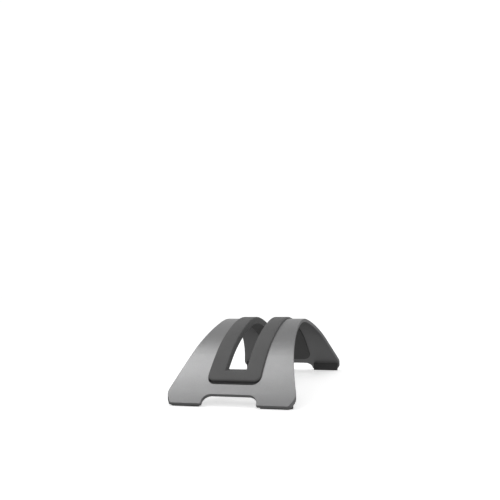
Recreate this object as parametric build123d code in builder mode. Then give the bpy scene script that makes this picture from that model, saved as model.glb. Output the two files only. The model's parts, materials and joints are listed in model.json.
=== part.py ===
from build123d import *
import os
from math import asin, cos, degrees, radians, sin

# An arched desk stand that holds a closed laptop upright on its long edge. Millimetres, +Z up, +Y along
# the laptop, origin on the table under the middle of the arch. Front is -Y, and both ends are alike.

# Plate: on each side of the crown its outer surface is four tangent arcs, each given by its radius and
# by the slope in degrees at which it ends.
plate_thickness = 3.0
crown_height = 55.5
crown_radius, crown_end = 80.0, 10.0
shoulder_radius, shoulder_end = 160.0, 25.0
haunch_radius, haunch_end = 110.0, 34.0
leg_radius, leg_end = 215.0, 46.6
edge_break = 0.35

# Plan of the plate: a waist on each side, then a tighter flare to the feet, whose outer corners are cut
# off at a slant, past a rounded turn that starts a run short of the plate's end.
waist_half_width = 33.3
waist_radius = 363.0
flare_start = 70.0
flare_radius = 200.0
foot_corner_run = 8.7
foot_corner_radius = 5.0
foot_corner_turn = 38.0
foot_tip_radius = 1.8

# Openings in the plate. Every reach is a distance along the outer surface from the crown.
opening_half_width = 19.4
opening_reach = 103.2
opening_corner_radius = 6.0
notch_half_width = 20.2
notch_reach = 112.2
notch_corner_radius = 6.5
notch_tip_radius = 0.9

# Silicone insert, in layers: cap over the plate, collar and sill in its opening, flange under it.
cap_overlap = 0.6
cap_height = 1.5
cap_reach = 100.6
cap_corner_radius = 5.0
cap_edge_radius = 1.2
recess_depth = 2.2
flange_overlap = 1.4
flange_thickness = 1.2
flange_edge_radius = 0.5
laptop_slot_width = 15.6
laptop_slot_edge_radius = 0.8
ledge_height = 23.2

# Foot pads and the adhesive films above them.
pad_inset = 2.1
pad_depth = 6.3
pad_front_gap = 0.4
pad_corner_radius = 1.2
pad_edge_radius = 0.4
film_thickness = 0.15

# Reach of the solids that cut or clip others, and the difference below which two lengths are the same.
over = 5.0
far = 70.0
hair = 0.01

arcs = (
    (crown_radius, 0.0, crown_end),
    (shoulder_radius, crown_end, shoulder_end),
    (haunch_radius, shoulder_end, haunch_end),
    (leg_radius, haunch_end, leg_end),
)
haunch_reach = sum(radius * radians(end - start) for radius, start, end in arcs[:-1])


def arch_point(slope, offset=0.0):
    """(y, z) where the outer surface has that slope in degrees, moved outwards by `offset`."""
    y, z = 0.0, crown_height
    for radius, start, end in arcs:
        reached = radians(min(slope, end))
        if reached > radians(start):
            y += radius * (sin(reached) - sin(radians(start)))
            z -= radius * (cos(radians(start)) - cos(reached))
    return y + offset * sin(radians(slope)), z + offset * cos(radians(slope))


def leg_slope(reach):
    """Slope in degrees of the outer surface at a reach that lies on the leg."""
    return haunch_end + degrees((reach - haunch_reach) / leg_radius)


def leg_plane(side, reach):
    """Plane that touches a leg's outer surface at that reach; its local +Y runs down the leg."""
    slope = leg_slope(reach)
    y, z = arch_point(slope)
    return Plane((0, side * y, z), (side, 0, 0), (0, side * sin(radians(slope)), cos(radians(slope))))


plate_end = arch_point(leg_end)[0]
pad_front = arch_point(leg_end, -plate_thickness)[0] - pad_front_gap
waist_turn = degrees(asin(flare_start / waist_radius))
flare_rise = (plate_end - foot_corner_run - flare_start) / flare_radius
flare_end = degrees(asin(flare_start / waist_radius + flare_rise))


def band(outer, inner, end_slope):
    """Section of a band that follows the arch between two offsets from its outer surface."""
    with BuildSketch(Plane.YZ) as section:
        with BuildLine():
            for offset in (outer, inner):
                for _, start, end in arcs[1:]:
                    end = min(end, end_slope)
                    middle = arch_point((start + end) / 2, offset)
                    ThreePointArc(arch_point(start, offset), middle, arch_point(end, offset))
            Line(arch_point(end_slope, outer), arch_point(end_slope, inner))
            mirror(about=Plane.YZ)
            for offset in (outer, inner):
                y, z = arch_point(crown_end, offset)
                ThreePointArc((-y, z), arch_point(0, offset), (y, z))
        make_face()
    return section.sketch


def plan(inset=0.0):
    """Plan of the plate between its two waisted sides, both moved inwards by `inset`."""
    with BuildSketch() as outline:
        with BuildLine():
            middle = (waist_half_width - inset, 0)
            waist = JernArc(middle, (0, 1), waist_radius + inset, -waist_turn)
            flare = JernArc(waist @ 1, waist % 1, flare_radius + inset, waist_turn - flare_end)
            corner = JernArc(flare @ 1, flare % 1, foot_corner_radius - inset, flare_end + foot_corner_turn)
            slant = PolarLine(corner @ 1, 2 * over, direction=corner % 1)
            Polyline(slant @ 1, (0, (slant @ 1).Y), (0, 0), middle)
        make_face()
        mirror(about=Plane.XZ)
        mirror(about=Plane.YZ)
    return outline.sketch


def leg_cut(side, reach, half_width, length, radius):
    """Outline on a leg whose corners at that reach are rounded; positive lengths run down the leg."""
    with BuildSketch(leg_plane(side, reach)) as outline:
        with Locations((0, length / 2)):
            Rectangle(2 * half_width, abs(length))
        fillet(outline.vertices().group_by(Axis.Y)[0 if length > 0 else -1], radius)
    return outline.sketch


def rim_edges(part, up):
    """Edges around the outer (up = 1) or inner (up = -1) surface of a piece that follows the arch."""
    curved = part.faces().filter_by(GeomType.CYLINDER)
    surface = [face for face in curved if up * face.normal_at(face.center()).Z > cos(radians(leg_end))]
    edges = [edge for face in surface for edge in face.edges()]
    return [edge for edge in edges if sum(edge.is_same(other) for other in edges) == 1]


def layer(outer, inner, half_width, reach, corner_radius, rounded=0, rim_radius=0.0):
    """One layer of the insert: a band with rounded corners, its outer (1) or inner (-1) rim rounded."""
    with BuildPart() as lining:
        extrude(band(outer, inner, leg_slope(reach)), amount=half_width, both=True)
        straight = lining.edges().filter_by(GeomType.LINE)
        fillet([edge for edge in straight if abs(edge.length - (outer - inner)) < hair], corner_radius)
        if rounded:
            fillet(rim_edges(lining.part, rounded), rim_radius)
    return lining.part


# ------------------------------------------------------------------ the bent aluminium plate
with BuildPart() as arch_body:
    extrude(band(0, -plate_thickness, leg_end), amount=far, both=True)
    extrude(plan(), amount=crown_height + over, mode=Mode.INTERSECT)

    # The long opening is cut straight down over the haunches, then square to each leg at its ends.
    leg_start = arch_point(haunch_end)[0]
    with BuildSketch():
        Rectangle(2 * opening_half_width, 2 * leg_start + over)
    extrude(amount=crown_height + over, mode=Mode.SUBTRACT)
    for side in (-1, 1):
        leg_run = opening_reach - haunch_reach
        opening = leg_cut(side, opening_reach, opening_half_width, -leg_run, opening_corner_radius)
        extrude(opening, amount=2 * over, both=True, mode=Mode.SUBTRACT)
        notch = leg_cut(side, notch_reach, notch_half_width, far, notch_corner_radius)
        extrude(notch, amount=2 * over, both=True, mode=Mode.SUBTRACT)

    # The tips of the feet are rounded: the slanted outer ones more than those beside the notch.
    for radius, outer in ((foot_tip_radius, True), (notch_tip_radius, False)):
        straight = arch_body.edges().filter_by(GeomType.LINE)
        ends = [edge for edge in straight if abs(edge.center().Y) > plate_end - plate_thickness]
        across = [edge for edge in ends if abs((edge @ 0).Z - (edge @ 1).Z) > plate_thickness / 2]
        fillet([edge for edge in across if (abs(edge.center().X) > notch_half_width + hair) == outer], radius)

    # Every edge of both surfaces is broken.
    fillet(rim_edges(arch_body.part, 1), edge_break)
    fillet(rim_edges(arch_body.part, -1), edge_break)
arch_body.part.label = "arch_body"

# ------------------------------------------------------------------ the silicone insert
with BuildPart() as laptop_insert:
    # Cap: two cheeks that stand proud of the plate, their shoulders and noses rounded.
    cap_half_width = opening_half_width + cap_overlap
    add(layer(cap_height, 0, cap_half_width, cap_reach, cap_corner_radius, 1, cap_edge_radius))

    # Collar and sill fill the plate's opening; past the cheeks only the thin sill is left.
    collar_reach, collar_corner_radius = cap_reach - cap_overlap, cap_corner_radius - cap_overlap
    add(layer(0, -recess_depth, opening_half_width, collar_reach, collar_corner_radius))
    add(layer(-recess_depth, -plate_thickness, opening_half_width, opening_reach, opening_corner_radius))

    # Flange that grips the plate from below.
    flange_base = -plate_thickness - flange_thickness
    flange_half_width = opening_half_width + flange_overlap
    flange_corner_radius = opening_corner_radius + flange_overlap
    flange_reach = opening_reach + flange_overlap
    add(layer(-plate_thickness, flange_base, flange_half_width, flange_reach, flange_corner_radius,
              -1, flange_edge_radius))

    # Laptop slot: open from below between the two ledges that carry the laptop's lower edge.
    with BuildSketch(Plane.XY.offset(ledge_height)):
        Rectangle(laptop_slot_width, 2 * plate_end)
    extrude(amount=crown_height, mode=Mode.SUBTRACT)
    inner_rim = [edge for edge in rim_edges(laptop_insert.part, 1) if edge.center().Z > ledge_height]
    mouth = [edge for edge in inner_rim if abs(abs(edge.center().X) - laptop_slot_width / 2) < hair]
    fillet(mouth, laptop_slot_edge_radius)
laptop_insert.part.label = "laptop_insert"

# ------------------------------------------------------------------ foot pads and adhesive films
with BuildSketch() as pad_plan:
    add(plan(pad_inset))
    pad_inner_side = notch_half_width + pad_inset
    with Locations((pad_inner_side, pad_front)):
        Rectangle(far, pad_depth, align=(Align.MIN, Align.MAX), mode=Mode.INTERSECT)
    corners = [v for v in pad_plan.vertices() if v.Y > pad_front - hair or v.X < pad_inner_side + hair]
    fillet(corners, pad_corner_radius)

with BuildPart() as pad:
    extrude(pad_plan.sketch, amount=2 * over)
    extrude(band(2 * over, -plate_thickness - film_thickness, leg_end), amount=far, mode=Mode.SUBTRACT)
    fillet(pad.faces().sort_by(Axis.Z)[0].edges(), pad_edge_radius)

with BuildPart() as film:
    extrude(pad_plan.sketch, amount=2 * over)
    film_band = band(-plate_thickness, -plate_thickness - film_thickness, leg_end)
    extrude(film_band, amount=far, mode=Mode.INTERSECT)

# ------------------------------------------------------------------ one STEP per piece
pieces = [arch_body.part, laptop_insert.part]
for end, side, planes in (
    ("rear", "right", ()),
    ("rear", "left", (Plane.YZ,)),
    ("front", "right", (Plane.XZ,)),
    ("front", "left", (Plane.XZ, Plane.YZ)),
):
    for name, master in (("pad", pad.part), ("pad_film", film.part)):
        piece = master
        for plane in planes:
            piece = piece.mirror(plane)
        piece.label = f"{end}_{side}_{name}"
        pieces.append(piece)

os.makedirs("parts", exist_ok=True)
for piece in pieces:
    export_step(piece, f"parts/{piece.label}.step")
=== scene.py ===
"""Looks of the arched laptop stand: blasted anodised plate, silicone insert and rubber foot pads."""

import json
from math import cos, degrees, pi, radians, sin, tau

import bpy
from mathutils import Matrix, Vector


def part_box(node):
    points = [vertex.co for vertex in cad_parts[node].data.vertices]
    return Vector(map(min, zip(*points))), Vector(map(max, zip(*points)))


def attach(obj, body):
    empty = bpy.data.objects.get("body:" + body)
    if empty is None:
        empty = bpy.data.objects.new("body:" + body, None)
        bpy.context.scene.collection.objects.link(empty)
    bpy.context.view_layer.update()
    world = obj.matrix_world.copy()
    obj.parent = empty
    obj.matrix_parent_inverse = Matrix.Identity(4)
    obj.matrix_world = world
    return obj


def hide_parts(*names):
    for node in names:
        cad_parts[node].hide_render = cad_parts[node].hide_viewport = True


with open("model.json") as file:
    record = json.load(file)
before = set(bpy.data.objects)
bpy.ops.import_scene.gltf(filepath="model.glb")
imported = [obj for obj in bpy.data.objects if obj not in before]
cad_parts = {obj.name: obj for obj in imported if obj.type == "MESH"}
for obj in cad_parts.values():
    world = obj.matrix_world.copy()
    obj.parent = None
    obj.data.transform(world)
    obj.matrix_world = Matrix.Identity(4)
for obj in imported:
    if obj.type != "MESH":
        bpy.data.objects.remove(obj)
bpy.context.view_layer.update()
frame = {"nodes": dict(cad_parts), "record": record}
nodes = frame["nodes"]

# Arch: radius in metres of each arc of the plate's outer surface, from the crown down, and the slopes in
# degrees between which it runs.
ARCS = ((0.080, 0.0, 10.0), (0.160, 10.0, 25.0), (0.110, 25.0, 34.0), (0.215, 34.0, 46.6))
CROWN_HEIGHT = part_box("arch_body")[1][2]
PLATE = 0.003

# Insert, in metres. Each layer is given by its half width, its reach along the arch from the crown and
# its corner radius: the sill fills the plate's opening, the cap laps over the plate, the collar joins the
# two, and the flange grips the plate from below.
SILL = (0.0194, 0.1032, 0.0060)
SILL_DEPTH = 0.0022
CAP_OVERLAP = 0.0006
CAP = (SILL[0] + CAP_OVERLAP, 0.1006, 0.0050)
CAP_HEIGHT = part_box("laptop_insert")[1][2] - CROWN_HEIGHT
CAP_EDGE = 0.0012
COLLAR = tuple(value - CAP_OVERLAP for value in CAP)
FLANGE_OVERLAP = 0.0014
FLANGE = tuple(value + FLANGE_OVERLAP for value in SILL)
FLANGE_THICKNESS = 0.0012
FLANGE_EDGE = 0.0005
SLOT_HALF_WIDTH = 0.0078
SLOT_EDGE = 0.0008
SLOT_CORNER = 0.0006
LEDGE_HEIGHT = 0.0232
SMALL_EDGE = 0.00015

# Divisions of the insert's mesh: along a long side, round a corner, across an end, round an edge, and
# over each broad face between its edges. Edges that turn by more than the crease, in degrees, are sharp.
SIDE_CUTS = 110
CORNER_CUTS = 8
END_CUTS = 10
EDGE_CUTS = 5
FACE_CUTS = 4
CREASE = 35.0
REACH_TOLERANCE = 1e-7

# Camera: where the photograph was taken from, in metres and degrees, and its picture's width.
CAMERA_PLACE = (0.1505, -0.5627, 0.0915)
CAMERA_YAW = 16.14
CAMERA_PITCH = 2.20
CAMERA_ROLL = 1.01
LENS_MM = 49.47
SENSOR_MM = 36.0

# Set: a self-lit floor and wall, in metres, with the floor's own glow.
FLOOR_SIZE = 6.0
FLOOR_GLOW = 0.52
WALL_RADIUS = 2.9
WALL_DEPTH = 0.5
WALL_HEIGHT = 4.0
WALL_SIDES = 48

# Light: the surroundings' brightness at rising elevations, from straight down to straight up, how much
# of it is left straight out to either side of the stand, how far round that dimming starts, and each
# softbox's centre, size and brightness.
SKY = (
    (-90, 0.27), (-45, 0.2), (-8, 0.4), (2, 0.62), (14, 1.0), (24, 1.05), (33, 0.86), (42, 0.58), (52, 0.42),
    (62, 0.32), (90, 0.34),
)
SKY_BESIDE = 0.75
SKY_DIMS_FROM = 0.4
TOP_SOFTBOX = ((-0.12, 0.015, 0.6), (0.6, 0.25), 1.4)
LEFT_SOFTBOX = ((-0.42, -0.07, 0.61), (0.44, 0.46), 0.97)

# Noise stays mostly between these values, which are stretched to the whole range of what it drives.
NOISE_LOW = 0.3
NOISE_HIGH = 0.7

# The colour sockets of a mix node, which has a set of sockets for each type of data.
MIX_FIRST = 6
MIX_SECOND = 7
MIX_RESULT = 2


# ------------------------------------------------------------------ node helpers
def new_material(name):
    """A new material, its node tree and its shader."""
    material = bpy.data.materials.new(name)
    material.use_nodes = True
    tree = material.node_tree
    shader = next(n for n in tree.nodes if n.type == "BSDF_PRINCIPLED")
    return material, tree, shader


def noise(tree, scale, detail=2.0, roughness=0.5):
    """Noise in object coordinates; scale is in cycles per metre."""
    place = tree.nodes.new("ShaderNodeTexCoord")
    texture = tree.nodes.new("ShaderNodeTexNoise")
    texture.inputs["Scale"].default_value = scale
    texture.inputs["Detail"].default_value = detail
    texture.inputs["Roughness"].default_value = roughness
    tree.links.new(place.outputs["Object"], texture.inputs["Vector"])
    return texture.outputs["Fac"]


def spread(tree, value, low, high):
    """A number from low to high, driven by noise."""
    ramp = tree.nodes.new("ShaderNodeMapRange")
    ramp.inputs["From Min"].default_value = NOISE_LOW
    ramp.inputs["From Max"].default_value = NOISE_HIGH
    ramp.inputs["To Min"].default_value = low
    ramp.inputs["To Max"].default_value = high
    tree.links.new(value, ramp.inputs["Value"])
    return ramp.outputs["Result"]


def greys(tree, value, dark, light, tint=(1.0, 1.0, 1.0)):
    """A colour between two grey levels, driven by noise."""
    ramp = tree.nodes.new("ShaderNodeValToRGB")
    for element, level, position in zip(ramp.color_ramp.elements, (dark, light), (NOISE_LOW, NOISE_HIGH)):
        element.color = (*(level * channel for channel in tint), 1.0)
        element.position = position
    tree.links.new(value, ramp.inputs["Fac"])
    return ramp.outputs["Color"]


def blend(tree, first, second):
    """The product of two colours."""
    mix = tree.nodes.new("ShaderNodeMix")
    mix.data_type = "RGBA"
    mix.blend_type = "MULTIPLY"
    mix.inputs["Factor"].default_value = 1.0
    tree.links.new(first, mix.inputs[MIX_FIRST])
    tree.links.new(second, mix.inputs[MIX_SECOND])
    return mix.outputs[MIX_RESULT]


def bump(tree, shader, height, distance):
    """Bump of that height in metres."""
    node = tree.nodes.new("ShaderNodeBump")
    node.inputs["Distance"].default_value = distance
    tree.links.new(height, node.inputs["Height"])
    tree.links.new(node.outputs["Normal"], shader.inputs["Normal"])


# ------------------------------------------------------------------ materials
def anodised_aluminium():
    """Grey anodised plate, bead-blasted: fine pits of uneven tone and gloss, and a faint drift of tone."""
    material, tree, shader = new_material("anodised_aluminium")
    shader.inputs["Metallic"].default_value = 1.0
    shader.inputs["Specular Tint"].default_value = (0.7, 0.7, 0.7, 1.0)
    pits = noise(tree, scale=2400.0, detail=4.0, roughness=0.7)
    drift = noise(tree, scale=28.0)
    grain = greys(tree, pits, dark=0.325, light=0.385, tint=(1.0, 1.0, 1.008))
    shade = blend(tree, grain, greys(tree, drift, dark=0.92, light=1.0))
    tree.links.new(shade, shader.inputs["Base Color"])
    tree.links.new(spread(tree, pits, low=0.44, high=0.34), shader.inputs["Roughness"])
    bump(tree, shader, pits, distance=0.00006)
    return material


def silicone():
    """Dark grey silicone: matt skin with a fine mould texture and a soft sheen."""
    material, tree, shader = new_material("silicone")
    grain = noise(tree, scale=1900.0, detail=4.0, roughness=0.65)
    drift = noise(tree, scale=45.0, detail=3.0)
    tree.links.new(greys(tree, drift, dark=0.1, light=0.115), shader.inputs["Base Color"])
    tree.links.new(spread(tree, grain, low=0.55, high=0.7), shader.inputs["Roughness"])
    bump(tree, shader, grain, distance=0.00007)
    shader.inputs["Specular IOR Level"].default_value = 0.45
    return material


def pad_rubber():
    """Near-black rubber with a fine matt grain."""
    material, tree, shader = new_material("pad_rubber")
    grain = noise(tree, scale=1800.0, detail=3.0, roughness=0.6)
    drift = noise(tree, scale=80.0)
    tree.links.new(greys(tree, drift, dark=0.036, light=0.046), shader.inputs["Base Color"])
    tree.links.new(spread(tree, grain, low=0.6, high=0.8), shader.inputs["Roughness"])
    bump(tree, shader, grain, distance=0.00004)
    return material


def adhesive_film():
    """Thin double-sided tape with a dark, slightly uneven body."""
    material, tree, shader = new_material("adhesive_film")
    mottle = noise(tree, scale=600.0, detail=3.0)
    tree.links.new(greys(tree, mottle, dark=0.07, light=0.1), shader.inputs["Base Color"])
    tree.links.new(spread(tree, mottle, low=0.35, high=0.55), shader.inputs["Roughness"])
    bump(tree, shader, mottle, distance=0.00002)
    return material


def floor_board():
    """Back-lit white board with a barely visible tooth."""
    material, tree, shader = new_material("floor_board")
    tooth = noise(tree, scale=900.0)
    tree.links.new(greys(tree, tooth, dark=0.93, light=0.95), shader.inputs["Base Color"])
    shader.inputs["Roughness"].default_value = 0.9
    shader.inputs["Specular IOR Level"].default_value = 0.1
    shader.inputs["Emission Color"].default_value = (1.0, 1.0, 1.0, 1.0)
    shader.inputs["Emission Strength"].default_value = FLOOR_GLOW
    return material


def white_wall():
    """Self-lit white of the wall around the set."""
    material, tree, shader = new_material("white_wall")
    shader.inputs["Base Color"].default_value = (0.0, 0.0, 0.0, 1.0)
    shader.inputs["Emission Color"].default_value = (1.0, 1.0, 1.0, 1.0)
    shader.inputs["Emission Strength"].default_value = 1.0
    return material


finishes = {
    "anodised_aluminium": anodised_aluminium(),
    "silicone": silicone(),
    "pad_rubber": pad_rubber(),
    "adhesive_film": adhesive_film(),
}
for row in frame["record"]["subparts"]:
    node = nodes[row["node"]]
    node.data.materials.clear()
    node.data.materials.append(finishes[row["material_slot"]])


# ------------------------------------------------------------------ the silicone insert
def on_arch(x, reach, offset):
    """The point at a signed reach along the arch from the crown, raised off the plate's outer surface."""
    left, slope, y, z = abs(reach), 0.0, 0.0, CROWN_HEIGHT
    for radius, start, end in ARCS:
        run = min(left, radius * radians(end - start))
        slope = start + degrees(run / radius)
        y += radius * (sin(radians(slope)) - sin(radians(start)))
        z -= radius * (cos(radians(start)) - cos(radians(slope)))
        left -= run
        if left <= 0.0:
            break
    y += offset * sin(radians(slope))
    return (x, y if reach > 0 else -y, z + offset * cos(radians(slope)))


def ledge_reach(offset):
    """The reach at which that offset from the plate's outer surface is level with the ledges."""
    near, far = 0.0, FLANGE[1]
    while far - near > REACH_TOLERANCE:
        middle = (near + far) / 2
        above = on_arch(0, middle, offset)[2] > LEDGE_HEIGHT
        near, far = (middle, far) if above else (near, middle)
    return near


def outline(half_width, reach, corner):
    """Points (x, reach) round a rectangle with rounded corners, the same number for every size."""
    side, end = reach - corner, half_width - corner
    half = []
    for k in range(SIDE_CUTS):
        half.append((half_width, side * (2 * k / SIDE_CUTS - 1)))
    for k in range(CORNER_CUTS):
        turn = pi / 2 * k / CORNER_CUTS
        half.append((end + corner * cos(turn), side + corner * sin(turn)))
    for k in range(END_CUTS):
        half.append((end * (1 - 2 * k / END_CUTS), reach))
    for k in range(CORNER_CUTS):
        turn = pi / 2 * k / CORNER_CUTS
        half.append((-end - corner * sin(turn), side + corner * cos(turn)))
    return half + [(-x, -along) for x, along in half]


def rounding(shape, offset, radius, outwards, upwards):
    """
    Rings round a layer's edge, as (half width, reach, corner radius, offset).

    They run from the layer's face to its side (outwards) or from its side to its face, round its upper
    edge (upwards) or its lower one.
    """
    rings = []
    for k in range(EDGE_CUTS + 1):
        turn = pi / 2 * k / EDGE_CUTS
        inset = radius * (1 - (sin(turn) if outwards else cos(turn)))
        drop = radius * (1 - (cos(turn) if outwards else sin(turn)))
        half_width, reach, corner = (value - inset for value in shape)
        rings.append((half_width, reach, corner, offset - drop if upwards else offset + drop))
    return rings


def between(first, last):
    """Rings evenly spaced between two others, without them."""
    steps = [k / FACE_CUTS for k in range(1, FACE_CUTS)]
    return [tuple(a + (b - a) * step for a, b in zip(first, last)) for step in steps]


def insert_rings():
    """Rings up the slot's wall, over the cap and its rim, down the collar and sill, and under the flange."""
    base = -PLATE - FLANGE_THICKNESS
    rings = []

    # Slot: its wall, whose ends are the level ledges, and its rounded mouth.
    for k in range(FACE_CUTS + 1):
        offset = base + (CAP_HEIGHT - SLOT_EDGE - base) * k / FACE_CUTS
        rings.append((SLOT_HALF_WIDTH, ledge_reach(offset), SLOT_CORNER, offset))
    for k in range(1, EDGE_CUTS + 1):
        turn = pi / 2 * k / EDGE_CUTS
        widening = SLOT_EDGE * (1 - cos(turn))
        offset = CAP_HEIGHT - SLOT_EDGE * (1 - sin(turn))
        rings.append((SLOT_HALF_WIDTH + widening, ledge_reach(offset) + widening, SLOT_CORNER, offset))

    # Cap: its broad top and round rim, then its lower edge.
    rim = rounding(CAP, CAP_HEIGHT, CAP_EDGE, True, True)
    rings += between(rings[-1], rim[0]) + rim
    rings += rounding(CAP, 0.0, SMALL_EDGE, False, False)

    # Collar, sill and flange.
    rings += [(*COLLAR, 0.0), (*COLLAR, -SILL_DEPTH)]
    rings += rounding(SILL, -SILL_DEPTH, SMALL_EDGE, True, True)
    rings += [(*SILL, -PLATE)]
    rings += rounding(FLANGE, -PLATE, SMALL_EDGE, True, True)
    lower = rounding(FLANGE, base, FLANGE_EDGE, False, False)
    return rings + lower + between(lower[-1], rings[0])


def laptop_insert():
    """The insert as one closed skin of rings, each joined to the next and the last to the first."""
    rings = insert_rings()
    around = 2 * (SIDE_CUTS + 2 * CORNER_CUTS + END_CUTS)
    vertices = [on_arch(x, along, ring[3]) for ring in rings for x, along in outline(*ring[:3])]
    faces = []
    for k in range(len(rings)):
        here, there = k * around, (k + 1) % len(rings) * around
        for i in range(around):
            j = (i + 1) % around
            faces.append((here + i, there + i, there + j, here + j))
    mesh = bpy.data.meshes.new("laptop_insert_skin")
    mesh.from_pydata(vertices, [], faces)
    mesh.materials.append(finishes["silicone"])
    mesh.polygons.foreach_set("use_smooth", [True] * len(faces))
    mesh.set_sharp_from_angle(angle=radians(CREASE))
    piece = bpy.data.objects.new("laptop_insert_skin", mesh)
    bpy.context.scene.collection.objects.link(piece)
    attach(piece, "root")
    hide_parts("laptop_insert")


# ------------------------------------------------------------------ floor, light and camera
def staged(name, vertices, faces, material):
    """A piece of the set: only the camera sees it, and it takes shadows but lights nothing."""
    mesh = bpy.data.meshes.new(name)
    mesh.from_pydata(vertices, [], faces)
    mesh.materials.append(material)
    piece = bpy.data.objects.new(name, mesh)
    bpy.context.scene.collection.objects.link(piece)
    piece.visible_diffuse = False
    piece.visible_glossy = False
    return piece


def floor():
    """A large flat white board under the stand."""
    half = FLOOR_SIZE / 2
    corners = [(-half, -half, 0), (half, -half, 0), (half, half, 0), (-half, half, 0)]
    staged("floor", corners, [(0, 1, 2, 3)], floor_board())


def wall():
    """A round white wall that closes the view above the floor's edge."""
    turns = [tau * k / WALL_SIDES for k in range(WALL_SIDES)]
    ring = [(WALL_RADIUS * cos(turn), WALL_RADIUS * sin(turn)) for turn in turns]
    vertices = [(x, y, -WALL_DEPTH) for x, y in ring] + [(x, y, WALL_HEIGHT) for x, y in ring]
    faces = []
    for k in range(WALL_SIDES):
        following = (k + 1) % WALL_SIDES
        faces.append((k, following, WALL_SIDES + following, WALL_SIDES + k))
    screen = staged("wall", vertices, faces, white_wall())
    screen.visible_shadow = False
    screen.visible_transmission = False


def softbox(name, centre, size, radiance):
    """A level rectangular area light that shines straight down; the camera doesn't see it."""
    light = bpy.data.lights.new(name, "AREA")
    light.shape = "RECTANGLE"
    light.size, light.size_y = size
    light.energy = radiance * pi * size[0] * size[1]
    lamp = bpy.data.objects.new(name, light)
    bpy.context.scene.collection.objects.link(lamp)
    lamp.location = centre
    lamp.visible_camera = False


def studio():
    """Surroundings that are brightest a little above the horizon, and two softboxes overhead."""
    world = bpy.data.worlds.new("studio")
    bpy.context.scene.world = world
    world.use_nodes = True
    tree = world.node_tree
    background = next(n for n in tree.nodes if n.type == "BACKGROUND")
    place = tree.nodes.new("ShaderNodeTexCoord")
    split = tree.nodes.new("ShaderNodeSeparateXYZ")
    height = tree.nodes.new("ShaderNodeMapRange")
    height.inputs["From Min"].default_value = -1.0
    ramp = tree.nodes.new("ShaderNodeValToRGB")
    tree.links.new(place.outputs["Generated"], split.inputs["Vector"])
    tree.links.new(split.outputs["Z"], height.inputs["Value"])
    tree.links.new(height.outputs["Result"], ramp.inputs["Fac"])
    tree.links.new(ramp.outputs["Color"], background.inputs["Color"])
    while len(ramp.color_ramp.elements) < len(SKY):
        ramp.color_ramp.elements.new(0.5)
    for element, (elevation, level) in zip(ramp.color_ramp.elements, SKY):
        element.position = (1.0 + sin(radians(elevation))) / 2.0
        element.color = (level, level, level, 1.0)

    # They are dimmer on either side of the stand than in front of it and behind it.
    sideways = tree.nodes.new("ShaderNodeMath")
    sideways.operation = "ABSOLUTE"
    tree.links.new(split.outputs["X"], sideways.inputs[0])
    dimming = tree.nodes.new("ShaderNodeMapRange")
    dimming.inputs["From Min"].default_value = SKY_DIMS_FROM
    dimming.inputs["To Min"].default_value = 1.0
    dimming.inputs["To Max"].default_value = SKY_BESIDE
    tree.links.new(sideways.outputs["Value"], dimming.inputs["Value"])
    tree.links.new(dimming.outputs["Result"], background.inputs["Strength"])
    softbox("top_softbox", *TOP_SOFTBOX)
    softbox("left_softbox", *LEFT_SOFTBOX)


def camera():
    """The photograph's viewpoint."""
    data = bpy.data.cameras.new("camera")
    data.sensor_width = SENSOR_MM
    data.lens = LENS_MM
    eye = bpy.data.objects.new("camera", data)
    bpy.context.scene.collection.objects.link(eye)
    eye.location = CAMERA_PLACE
    eye.rotation_euler = (radians(90 + CAMERA_PITCH), radians(CAMERA_ROLL), radians(CAMERA_YAW))
    bpy.context.scene.camera = eye


laptop_insert()
floor()
wall()
studio()
camera()
bpy.context.scene.view_settings.view_transform = "Standard"
